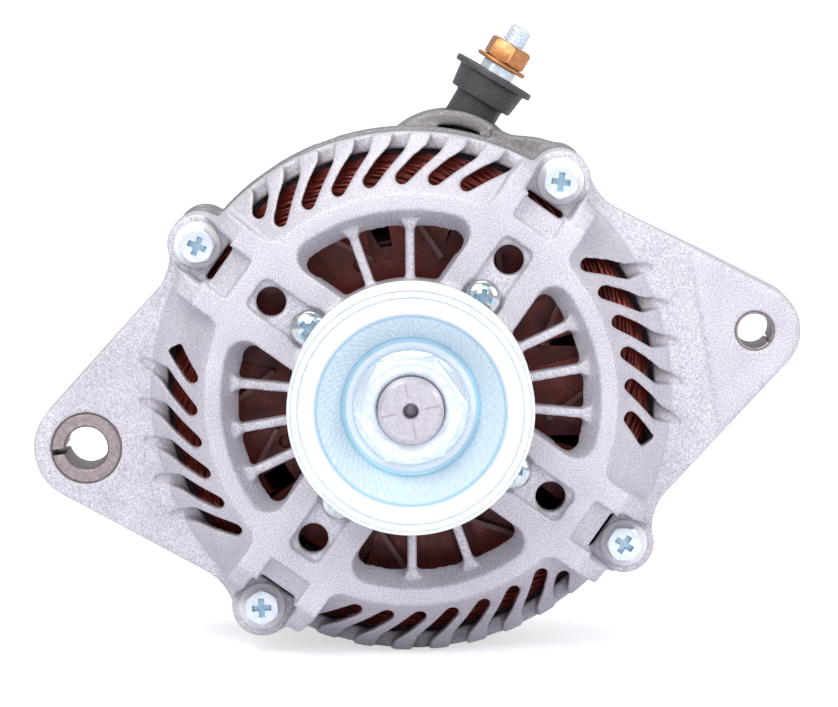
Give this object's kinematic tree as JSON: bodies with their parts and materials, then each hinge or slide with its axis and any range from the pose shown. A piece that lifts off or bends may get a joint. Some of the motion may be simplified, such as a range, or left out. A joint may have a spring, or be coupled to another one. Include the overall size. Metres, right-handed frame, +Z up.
{
  "type": "alternator",
  "caption": "Car alternator with a ribbed pulley, cast brackets with two mounting ears, claw-pole rotor, rectifier, regulator and output terminal.",
  "frame": {"origin": "on the shaft's axis, at the middle of the pulley's width", "axes": "+Z up as it stands in the picture, -Y along the shaft towards the pulley nut, +X to the right seen from the pulley"},
  "size_m": [0.1897, 0.1402, 0.1538],
  "materials": {
    "cast_face": "shot-blasted die casting",
    "cast_rear": "as-cast",
    "zinc_steel": "bright zinc plate",
    "ground_steel": "ground",
    "bush_steel": "turned",
    "bearing_steel": "polished",
    "cage_steel": "pressed",
    "seal_rubber": "moulded",
    "lamination": "stacked sheet",
    "varnished_iron": "dip varnish",
    "enamelled_copper": "enamelled wire",
    "liner_paper": "insulating sheet",
    "black_plastic": "moulded",
    "insulator_plastic": "moulded",
    "bobbin_plastic": "moulded",
    "ring_copper": "turned",
    "brush_carbon": "sintered",
    "sink_aluminium": "stamped",
    "yellow_brass": "turned",
    "pin_brass": "stamped"
  },
  "bodies": {
    "housing": {"front_bracket": "cast_face", "rear_bracket": "cast_rear", "through_bolts": "zinc_steel", "adjuster_sleeve": "bush_steel", "bearing_retainer": "ground_steel", "retainer_screws": "zinc_steel", "front_bearing_outer_race": "bearing_steel", "front_bearing_seals": "seal_rubber", "rear_bearing_outer_race": "bearing_steel", "rear_bearing_seals": "seal_rubber", "stator_core": "lamination", "slot_liners": "liner_paper", "stator_windings": "enamelled_copper", "stator_leads": "enamelled_copper", "brush_holder": "black_plastic", "front_brush_spring": "ground_steel", "rear_brush_spring": "ground_steel", "regulator_body": "black_plastic", "regulator_heat_sink": "sink_aluminium", "regulator_screws": "zinc_steel", "connector_shell": "black_plastic", "connector_pins": "pin_brass", "positive_heat_sink": "sink_aluminium", "negative_heat_sink": "sink_aluminium", "positive_diodes": "zinc_steel", "negative_diodes": "zinc_steel", "terminal_board": "black_plastic", "rectifier_spacers": "bobbin_plastic", "rectifier_screws": "zinc_steel", "terminal_insulator": "insulator_plastic", "terminal_stud": "zinc_steel", "terminal_spacer": "zinc_steel", "terminal_washer": "yellow_brass", "terminal_nut": "yellow_brass"},
    "rotor": {"shaft": "ground_steel", "pulley": "zinc_steel", "pulley_spacer": "ground_steel", "pulley_nut": "zinc_steel", "front_claw_pole": "varnished_iron", "rear_claw_pole": "varnished_iron", "coil_bobbin": "bobbin_plastic", "field_coil": "enamelled_copper", "front_fan": "varnished_iron", "rear_fan": "varnished_iron", "slip_ring_sleeve": "black_plastic", "slip_rings": "ring_copper", "front_bearing_inner_race": "bearing_steel", "rear_bearing_inner_race": "bearing_steel"},
    "front_balls": {"front_bearing_balls": "bearing_steel", "front_bearing_cage": "cage_steel"},
    "rear_balls": {"rear_bearing_balls": "bearing_steel", "rear_bearing_cage": "cage_steel"},
    "bush": {"pivot_bush": "bush_steel"},
    "front_brush_body": {"front_brush": "brush_carbon"},
    "rear_brush_body": {"rear_brush": "brush_carbon"}
  },
  "joints": [
    {"name": "rotor_spin", "type": "hinge", "parent": "housing", "child": "rotor", "pos_m": [0, 0, 0], "axis": [0, 1, 0], "continuous": true},
    {"name": "front_ball_orbit", "type": "hinge", "parent": "housing", "child": "front_balls", "pos_m": [0, 0.027, 0], "axis": [0, 1, 0], "continuous": true},
    {"name": "rear_ball_orbit", "type": "hinge", "parent": "housing", "child": "rear_balls", "pos_m": [0, 0.1132, 0], "axis": [0, 1, 0], "continuous": true},
    {"name": "bush_slide", "type": "slide", "parent": "housing", "child": "bush", "axis": [0, 1, 0], "range_m": [-0.0015, 0.0015]},
    {"name": "front_brush_slide", "type": "slide", "parent": "housing", "child": "front_brush_body", "axis": [0, 0, 1], "range_m": [-0.005, 0], "stiffness_N_per_m": 150, "springref_m": 0.013, "deforming": ["front_brush_spring"]},
    {"name": "rear_brush_slide", "type": "slide", "parent": "housing", "child": "rear_brush_body", "axis": [0, 0, 1], "range_m": [-0.005, 0], "stiffness_N_per_m": 150, "springref_m": 0.013, "deforming": ["rear_brush_spring"]}
  ],
  "couplings": [
    {"joint": "front_ball_orbit", "follows": "rotor_spin", "ratio": 0.3688},
    {"joint": "rear_ball_orbit", "follows": "rotor_spin", "ratio": 0.38}
  ]
}
